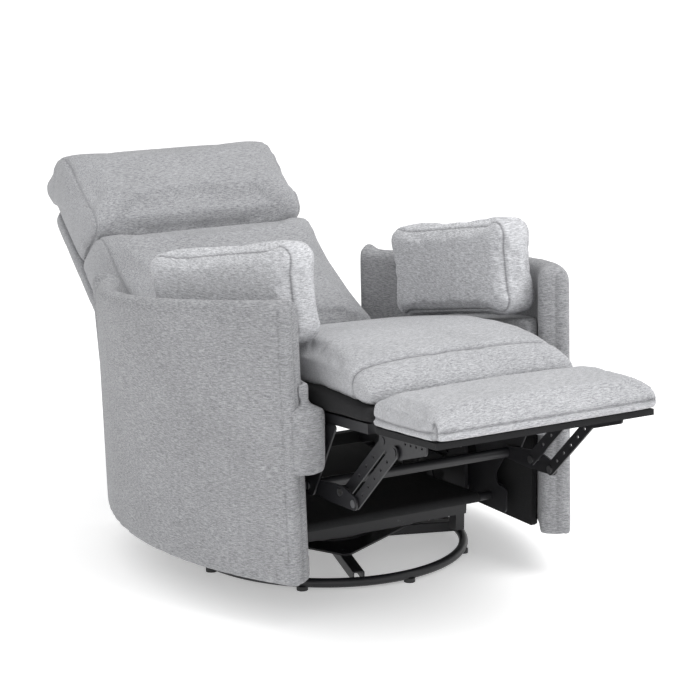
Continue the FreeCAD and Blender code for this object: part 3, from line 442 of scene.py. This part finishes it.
plywoodLook = {"roughness": 0.7, "grainRun": (6, 60, 60), "figureScale": 1.6, "figureDetail": 5.0,
               "figureRoughness": 0.6, "poreScale": 14, "dark": (0.42, 0.27, 0.14),
               "light": (0.62, 0.45, 0.27), "pore": (0.2, 0.12, 0.06), "poreRange": (0.3, 0.45, 0.6, 0.0),
               "bump": 0.2, "bumpDepth": 0.0005}


def makePlywood():
    look = plywoodLook
    material, tree, shader, where = newMaterial("plywood", look["roughness"])
    lay = addNode(tree, "Mapping")
    lay.inputs["Scale"].default_value = look["grainRun"]
    tree.links.new(where, lay.inputs["Vector"])
    figure = noiseNode(tree, lay.outputs[0], look["figureScale"], look["figureDetail"],
                       look["figureRoughness"])
    pore = noiseNode(tree, lay.outputs[0], look["poreScale"])
    colour = mixColours(tree, spread(tree, figure, 0.3, 0.7), look["dark"], look["light"])
    tree.links.new(mixColours(tree, spread(tree, pore, *look["poreRange"]), colour, look["pore"]),
                   shader.inputs["Base Color"])
    addBump(tree, shader, pore, look["bump"], look["bumpDepth"])
    return material


webbingLook = {"roughness": 0.85, "stripeScale": 130, "grainScale": 600, "dark": (0.012, 0.012, 0.013),
               "light": (0.05, 0.05, 0.052), "fuzz": (0.11, 0.11, 0.11), "fuzzRange": (0.3, 0.7, 0.0, 0.4),
               "bump": 0.4, "bumpDepth": 0.0006}


def makeWebbing():
    look = webbingLook
    material, tree, shader, where = newMaterial("seat_webbing", look["roughness"])
    stripes = addNode(tree, "TexWave", wave_type="BANDS", bands_direction="X")
    stripes.inputs["Scale"].default_value = look["stripeScale"]
    tree.links.new(where, stripes.inputs["Vector"])
    grain = noiseNode(tree, where, look["grainScale"])
    colour = mixColours(tree, stripes.outputs["Fac"], look["dark"], look["light"])
    tree.links.new(mixColours(tree, spread(tree, grain, *look["fuzzRange"]), colour, look["fuzz"]),
                   shader.inputs["Base Color"])
    addBump(tree, shader, stripes.outputs["Fac"], look["bump"], look["bumpDepth"])
    return material


slotMaterials = {"black_steel": makeSteel("black_paint", paintLook),
                 "zinc_steel": makeSteel("zinc_plate", zincLook),
                 "black_nylon": makeNylon(), "black_lining": makeLining(), "plywood": makePlywood(),
                 "webbing": makeWebbing()}
slotOf = {entry["node"]: entry["material_slot"] for entry in frame["record"]["subparts"]}
# painted shadow: these boards get the black lining so that where they show, under the cushions and in
# gaps, they read as shadow
boardsPaintedAsShadow = ("footrest_board", "rear_rail", "arm_bottoms", "back_frame")
slotOf.update({nodeName: "black_lining" for nodeName in boardsPaintedAsShadow})
for nodeName, obj in cadNodes.items():
    if slotOf[nodeName] in slotMaterials:
        obj.data.materials.clear()
        obj.data.materials.append(slotMaterials[slotOf[nodeName]])
print("steel, lining and wood finished")


# upholstery

def dress(obj, material, body, slotName, *replaced):
    obj.data.materials.clear()
    obj.data.materials.append(material)
    shadeSmooth(obj)
    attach(obj, body)
    if replaced:
        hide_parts(*replaced)


faceLength, smoothShare = 0.02, 0.5


def roundedRing(halfA, halfB, corner, steps=10):
    ring = []
    for quarter, (signA, signB) in enumerate(((1, 1), (-1, 1), (-1, -1), (1, -1))):
        for k in range(steps + 1):
            angle = math.pi / 2 * (quarter + k / steps)
            ring.append((signA * (halfA - corner) + corner * math.cos(angle),
                         signB * (halfB - corner) + corner * math.sin(angle)))
    sides = []
    for here, there in zip(ring, ring[1:] + ring[:1]):
        sides.append(here)
        pieces = int(math.dist(here, there) / faceLength)
        sides += [tuple(a + (b - a) * n / (pieces + 1) for a, b in zip(here, there))
                  for n in range(1, pieces + 1)]
    return sides


def skinOver(name, rings, place):
    bm = bmesh.new()
    loops = [[bm.verts.new(place @ Vector(p)) for p in ring] for ring in rings]
    for lower, upper in zip(loops, loops[1:]):
        for k in range(len(lower)):
            n = (k + 1) % len(lower)
            bm.faces.new((lower[k], lower[n], upper[n], upper[k]))
    for loop in (loops[0], loops[-1]):
        bm.faces.new(loop)
    bmesh.ops.triangulate(bm, faces=[f for f in bm.faces if len(f.verts) > 4])
    bmesh.ops.recalc_face_normals(bm, faces=bm.faces[:])
    return linkObject(name, bm)


cushionCorner, cornerLimit, dipReach = 0.25, 0.45, 110


# profile rows in millimetres: along, half width, underside, edge height, crown
def cushionForm(name, place, look):
    shape = roundedRing(1, 1, cushionCorner)
    rings = []
    for along, half, low, edge, crown in look["profile"]:
        corner = min(look["corner"], (edge - low) * cornerLimit)
        tall = (edge - low) / 2
        ring = []
        for a, b in shape:
            x = math.copysign(min(abs(a), 1), a) * half
            z = b * tall
            over = (max(abs(x) - (half - corner), 0), max(abs(z) - (tall - corner), 0))
            reach = math.hypot(*over)
            if over[0] > 0 and over[1] > 0 and reach > corner:
                x = math.copysign(half - corner + over[0] * corner / reach, x)
                z = math.copysign(tall - corner + over[1] * corner / reach, z)
            z += low + tall
            share = (z - low) / (edge - low)
            lift = crown * (1 - (x / half) ** 2) * share ** 2
            run = along + look.get("dip", 0) * (z - look["base"]) * max(0, 1 - along / dipReach)
            ring.append((x / 1000, run / 1000, (z + lift) / 1000))
        rings.append(ring)
    return skinOver(name, rings, place)


def finishPad(obj, place, look):
    voxelRemesh(obj, look["voxel"])
    smoothOut(obj, smoothShare, look["ease"])
    shrinkIn(obj, look["shrink"])
    held = look.get("held")
    puffUp(obj, look["pressure"], look["cap"],
           (lambda points: held(localPoints(points, place))) if held else None)
    subdivide(obj)
    sewSeams(obj, place, look["seams"])
    print(obj.name, "padded:", len(obj.data.vertices), "points")


def makeCushion(name, place, look, material, body, nodeName):
    cushion = cushionForm(name, place, look)
    finishPad(cushion, place, look)
    dress(cushion, material, body, "grey_chenille", nodeName)


seatLook = {
    "voxel": 0.0078, "ease": 3, "shrink": 0.004, "pressure": 4.0, "cap": 0.022, "corner": 24, "base": 0,
    "fill": 0.8,
    "profile": ((0, 252, 22, 50, 3), (12, 257, 18, 62, 5), (50, 260, 22, 80, 6), (100, 261, 30, 95, 6),
                (150, 262, 37, 106, 5), (210, 262, 43, 112, 5), (300, 262, 43, 113, 5),
                (400, 262, 38, 104, 5), (500, 262, 32, 92, 5), (600, 261, 26, 78, 5),
                (700, 259, 18, 62, 5), (764, 254, 12, 50, 4), (776, 248, 14, 40, 2)),
    "held": lambda p: p[:, 2] < 0.02,
    "seams": [
        {"axis": 1, "level": 0.083, "width": 0.0065, "depth": 0.006,
         "runs": lambda p: (p[:, 2] > 0.02) * np.clip((0.275 - np.abs(p[:, 0])) / 0.01, 0, 1)},
    ],
}
makeCushion("seat_cover", seatPlace, seatLook, seatChenille, "seat", "seat_cushion")

# the seat's black base, between its frame and the cushion's raised underside
baseLook = {
    "voxel": 0.008, "ease": 3, "corner": 8, "base": 0, "fill": 0.95,
    "profile": ((8, 246, 0, 30, 0), (50, 249, 0, 30, 0), (100, 249, 0, 38, 0), (210, 249, 0, 50, 0),
                (400, 249, 0, 46, 0), (600, 249, 0, 34, 0), (768, 244, 0, 22, 0)),
}
seatBase = cushionForm("seat_base_cover", seatPlace, baseLook)
voxelRemesh(seatBase, baseLook["voxel"])
smoothOut(seatBase, smoothShare, baseLook["ease"])
dress(seatBase, slotMaterials["black_lining"], "seat", "black_lining")

footrestLook = {
    "voxel": 0.0052, "ease": 3, "shrink": 0.004, "pressure": 4.0, "cap": 0.010, "corner": 14, "base": 0,
    "fill": 0.75,
    "profile": ((0, 257, 0, 50, 4), (-8, 261, -3, 56, 6), (-45, 263, -3, 58, 8), (-120, 263, -3, 56, 9),
                (-190, 263, -3, 51, 8), (-220, 260, -2, 43, 6), (-230, 254, 4, 34, 3)),
    "held": lambda p: p[:, 2] < 0.006,
    "seams": [
        {"axis": 2, "level": 0.019, "width": 0.0045, "depth": 0.0045},
        *({"axis": 0, "level": side * 0.225, "width": 0.006, "depth": 0.004, "lean": (1, side * -0.12),
           "runs": lambda p: (p[:, 1] < -0.205) * 1.0} for side in (1, -1)),
    ],
}
makeCushion("footrest_cover", footPlace, footrestLook, seatChenille, "footrest", "footrest_cushion")

lumbarLook = {
    "voxel": 0.0076, "ease": 4, "shrink": 0.004, "pressure": 4.0, "cap": 0.011, "corner": 30, "base": 60,
    "dip": -0.13, "fill": 0.8,
    "profile": ((0, 276, 18, 200, 5), (12, 281, 16, 220, 8), (40, 284, 16, 230, 10),
                (140, 285, 16, 199, 13), (250, 287, 16, 178, 13), (350, 291, 16, 170, 12),
                (392, 290, 16, 160, 9), (411, 286, 18, 140, 5)),
    "held": lambda p: p[:, 2] < 0.026,
    "seams": [
        {"axis": 0, "level": side * 0.270, "width": 0.005, "depth": 0.003, "dark": 0.5,
         "runs": lambda p: np.clip((p[:, 2] - 0.09) / 0.03, 0, 1)} for side in (1, -1)
    ],
}
makeCushion("lumbar_cover", backPlace, lumbarLook, backChenille, "back", "lumbar_cushion")

headrestLook = {
    "voxel": 0.0065, "ease": 4, "shrink": 0.004, "pressure": 4.0, "cap": 0.011, "corner": 26, "base": 60,
    "fill": 0.85,
    "profile": ((408, 278, 18, 146, 4), (422, 281, 16, 168, 6), (460, 284, 16, 178, 7),
                (530, 285, 16, 173, 7), (590, 284, 16, 166, 7), (604, 284, 2, 165, 7),
                (645, 283, -12, 152, 5), (668, 279, -10, 128, 4), (680, 272, 2, 100, 2)),
    "held": lambda p: (p[:, 2] < 0.026) * (p[:, 1] < 0.61),
    "seams": [
        {"axis": 0, "level": side * 0.268, "width": 0.005, "depth": 0.003, "dark": 0.5,
         "runs": lambda p: np.clip((p[:, 2] - 0.02) / 0.02, 0, 1)} for side in (1, -1)
    ],
}
makeCushion("headrest_cover", backPlace, headrestLook, backChenille, "back", "headrest_cushion")

pillowLook = {
    "voxel": 0.005, "ease": 3, "shrink": 0.004, "pressure": 4.0, "cap": 0.009,
    "length": 0.432, "height": 0.212, "corner": 0.040, "fill": 0.85,
    "layers": ((-0.046, 0.020), (-0.041, 0.008), (-0.030, 0.001), (0, 0), (0.030, 0.001), (0.041, 0.008),
               (0.046, 0.020)),
    "seams": [
        {"axis": 0, "level": level, "width": 0.004, "depth": 0.003} for level in (0.033, -0.033)
    ],
}


def pillowForm(name, place, look):
    rings = []
    for across, inset in look["layers"]:
        ring = roundedRing(look["length"] / 2 - inset, look["height"] / 2 - inset, look["corner"] - inset)
        rings.append([(across, a, b) for a, b in ring])
    return skinOver(name, rings, place)


for sideName in pillowSpots:
    place = pillowPlace(sideName)
    pillow = pillowForm(f"pillow_cover_{sideName}", place, pillowLook)
    finishPad(pillow, place, pillowLook)
    dress(pillow, pillowChenille, "chassis", "grey_chenille", f"arm_pillow_{sideName}")

# the arm's plan is an arc about centre; its rear end is turned further round it, more at the top
armLook = {
    "voxel": 0.0085, "ease": 5, "fill": 0.95,
    "centre": (-0.2275, -0.0165), "radius": 0.6975, "wall": 0.048,
    "rearFrom": 0.08, "rearEnd": 0.35, "rearTurn": 0.115, "rearMost": 1.1, "footShare": 0.35,
    "foot": 0.09, "tall": 0.5, "inner": 0.299, "innerFrom": 0.2,
    "bump": 0.013, "bumpAt": 0.395, "bumpWidth": 0.03, "bumpFrom": 0.5, "bumpRise": 0.06,
    "seams": [{"axis": 1, "level": -0.440, "width": 0.003, "depth": 0.002, "lean": (2, 0.062),
               "dark": 0.35}],
}
deckLook = {"voxel": 0.008, "ease": 6, "fill": 0.95, "step": -0.372, "stepRun": 0.02, "lift": 0.014,
            "liftFrom": 0.35, "liftRise": 0.09, "rear": 0.205}
noseLook = {"across": (0.250, 0.330), "along": (-0.440, -0.300), "up": (0.312, 0.440), "corner": 0.026}


def growArm(points):
    look = armLook
    centreX, centreY = look["centre"]
    share = (points[:, 1] - look["rearFrom"]) / (look["rearEnd"] - look["rearFrom"])
    share = np.clip(share, 0, look["rearMost"])
    height = np.clip((points[:, 2] - look["foot"]) / look["tall"], 0, 1)
    turn = look["rearTurn"] * share ** 2 * (look["footShare"] + (1 - look["footShare"]) * height)
    side = np.sign(points[:, 0])
    x, y = np.abs(points[:, 0]) - centreX, points[:, 1] - centreY
    points[:, 0] = side * (centreX + x * np.cos(turn) - y * np.sin(turn))
    points[:, 1] = centreY + x * np.sin(turn) + y * np.cos(turn)
    reach = look["radius"] - look["wall"]
    inner = centreX + np.sqrt(np.maximum(reach ** 2 - (points[:, 1] - centreY) ** 2, 0))
    points[:, 0] += side * np.maximum(look["inner"] - inner, 0) * (points[:, 1] > look["innerFrom"])
    top = np.clip((points[:, 2] - look["bumpFrom"]) / look["bumpRise"], 0, 1)
    away = (points[:, 1] - look["bumpAt"]) / look["bumpWidth"]
    points[:, 2] += look["bump"] * np.exp(-away ** 2) * top


def raiseDeck(points):
    look = deckLook
    ramp = np.clip((points[:, 1] - look["step"]) / look["stepRun"], 0, 1)
    height = np.clip((points[:, 2] - look["liftFrom"]) / look["liftRise"], 0, 1)
    points[:, 2] += look["lift"] * ramp * height
    points[:, 1] = np.minimum(points[:, 1], look["rear"])


def addNose(cover, side):
    (x0, x1), (y0, y1), (z0, z1) = noseLook["across"], noseLook["along"], noseLook["up"]
    plan = [(side * ((x0 + x1) / 2 + a), (y0 + y1) / 2 + b)
            for a, b in roundedRing((x1 - x0) / 2, (y1 - y0) / 2, noseLook["corner"])]
    nose = skinOver("nose", [[(x, y, z) for x, y in plan] for z in (z0, z1)], Matrix.Identity(4))
    bm = bmesh.new()
    bm.from_mesh(cover.data)
    bm.from_mesh(nose.data)
    bm.to_mesh(cover.data)
    bm.free()
    bpy.data.objects.remove(nose)


def movePoints(obj, mover):
    points = pointsOf(obj)
    mover(points)
    setPoints(obj, points)


for sideName, side in (("left", 1), ("right", -1)):
    arm = copyOfNode(f"arm_shell_{sideName}", f"arm_cover_{sideName}")
    voxelRemesh(arm, armLook["voxel"])
    smoothOut(arm, smoothShare, armLook["ease"])
    movePoints(arm, growArm)
    subdivide(arm)
    sewSeams(arm, Matrix.Identity(4), armLook["seams"])
    dress(arm, armChenille, "chassis", "grey_chenille", f"arm_shell_{sideName}")

    deck = copyOfNode(f"side_deck_{sideName}", f"deck_cover_{sideName}")
    addNose(deck, side)
    voxelRemesh(deck, deckLook["voxel"])
    movePoints(deck, raiseDeck)
    smoothOut(deck, smoothShare, deckLook["ease"])
    subdivide(deck)
    sewSeams(deck, Matrix.Identity(4), [])
    dress(deck, armChenille, "chassis", "grey_chenille", f"side_deck_{sideName}")
print("arms and decks covered")

panelLook = {"voxel": 0.009, "ease": 4, "fill": 0.95, "half": 0.285, "foot": -0.055, "top": 0.597,
             "corner": 0.05, "layers": ((-0.004, 0.004), (0, 0), (0.0222, 0))}


def makeBackCover():
    middle = (panelLook["foot"] + panelLook["top"]) / 2
    tall = (panelLook["top"] - panelLook["foot"]) / 2
    rings = []
    for z, inset in panelLook["layers"]:
        ring = roundedRing(panelLook["half"] - inset, tall - inset, panelLook["corner"] - inset)
        rings.append([(a, b + middle, z) for a, b in ring])
    return skinOver("back_panel_cover", rings, backPlace)


panelCover = makeBackCover()
voxelRemesh(panelCover, panelLook["voxel"])
smoothOut(panelCover, smoothShare, panelLook["ease"])
subdivide(panelCover)
sewSeams(panelCover, backPlace, [])
dress(panelCover, backChenille, "back", "grey_chenille", "back_panel")


# black dust cloth, stretched over the two cross tubes under the seat
clothLook = {"half": 0.236, "length": 0.53, "tubeY": 0.240, "tubeZ": 0.136, "radius": 0.0104,
             "sag": 0.005, "thick": 0.0008, "columns": 90, "rows": 90, "narrow": 0.03, "ripple": 0.0009,
             "ripples": 44, "rippleFade": 0.7, "rippleStart": 0.3, "belly": 0.002}
wrapAngles = range(0, 151, 15)


def clothPath():
    look = clothLook
    reach, radius = look["tubeY"], look["radius"]
    wrap = [(radius * math.sin(math.radians(d)), radius * math.cos(math.radians(d))) for d in wrapAngles]
    path = [(-reach - y, look["tubeZ"] + z) for y, z in reversed(wrap)]
    for k in range(1, look["rows"]):
        share = k / look["rows"]
        drop = look["sag"] * math.sin(math.pi * share)
        path.append((reach * (2 * share - 1), look["tubeZ"] + radius - drop))
    return path + [(reach + y, look["tubeZ"] + z) for y, z in wrap]


def makeDustCloth():
    look = clothLook
    bm = bmesh.new()
    lines = []
    for y, z in clothPath():
        free = max(0, 1 - (y / look["tubeY"]) ** 2)
        line = []
        for k in range(look["columns"] + 1):
            across = 2 * k / look["columns"] - 1
            x = across * look["half"] * (1 - look["narrow"] * free)
            ripple = look["ripple"] * math.sin(look["ripples"] * across)
            ripple = ripple * (1 - look["rippleFade"] * free) * free ** look["rippleStart"]
            belly = look["belly"] * free * (1 - across ** 2)
            line.append(bm.verts.new((x, y, z + ripple * across ** 2 - belly)))
        lines.append(line)
    for near, far in zip(lines, lines[1:]):
        for k in range(len(near) - 1):
            bm.faces.new((near[k], near[k + 1], far[k + 1], far[k]))
    bmesh.ops.recalc_face_normals(bm, faces=bm.faces[:])
    cloth = linkObject("dust_cloth", bm)
    thicken = cloth.modifiers.new("thicken", "SOLIDIFY")
    thicken.thickness = look["thick"]
    thicken.offset = 0
    applyModifiers(cloth)
    dress(cloth, slotMaterials["black_lining"], "chassis", "black_lining")


makeDustCloth()
print("dust cloth stretched")


# room, light and camera

studio = {
    "world": 0.85, "floorGlow": 0.35, "floorTone": (0.92, 0.92, 0.92, 1), "floorSize": 40,
    "key_light": {"spot": (1.4, -2.2, 3.6), "target": (0, -0.2, 0.4), "size": 2.6, "watts": 92},
    "fill_light": {"spot": (-3.2, -2.6, 2.0), "target": (0, 0, 0.4), "size": 2.4, "watts": 26},
}
photoView = {"spot": (-2.3716, -4.0294, 1.5154), "target": (0.0933, 0.0561, 0.4191),
             "lens": 114.42, "sensor": 36}


def makeFloor():
    bm = bmesh.new()
    bmesh.ops.create_grid(bm, x_segments=2, y_segments=2, size=studio["floorSize"])
    floor = linkObject("studio_floor", bm)
    material, _, shader, _ = newMaterial("studio_white", 0.9)
    shader.inputs["Base Color"].default_value = studio["floorTone"]
    shader.inputs["Emission Color"].default_value = (1, 1, 1, 1)
    shader.inputs["Emission Strength"].default_value = studio["floorGlow"]
    floor.data.materials.append(material)


def aimAt(obj, spot, target):
    obj.location = spot
    obj.rotation_euler = (Vector(target) - Vector(spot)).to_track_quat("-Z", "Y").to_euler()


def makeLamp(name, look):
    lamp = bpy.data.lights.new(name, "AREA")
    lamp.shape = "SQUARE"
    lamp.size = look["size"]
    lamp.energy = look["watts"]
    obj = bpy.data.objects.new(name, lamp)
    bpy.context.scene.collection.objects.link(obj)
    aimAt(obj, look["spot"], look["target"])


makeFloor()
for lampName in ("key_light", "fill_light"):
    makeLamp(lampName, studio[lampName])
world = bpy.data.worlds.new("studio_world")
bpy.context.scene.world = world
world.use_nodes = True
sky = world.node_tree.nodes["Background"]
sky.inputs["Color"].default_value = (1, 1, 1, 1)
seen = addNode(world.node_tree, "LightPath").outputs["Is Camera Ray"]
skyStrength = spread(world.node_tree, seen, 0, 1, studio["world"], 1.0)
world.node_tree.links.new(skyStrength, sky.inputs["Strength"])
bpy.context.scene.view_settings.view_transform = "Standard"

camera = bpy.data.cameras.new("camera")
camera.lens = photoView["lens"]
camera.sensor_width = photoView["sensor"]
cameraObject = bpy.data.objects.new("camera", camera)
bpy.context.scene.collection.objects.link(cameraObject)
aimAt(cameraObject, photoView["spot"], photoView["target"])
bpy.context.scene.camera = cameraObject
print("stage set")
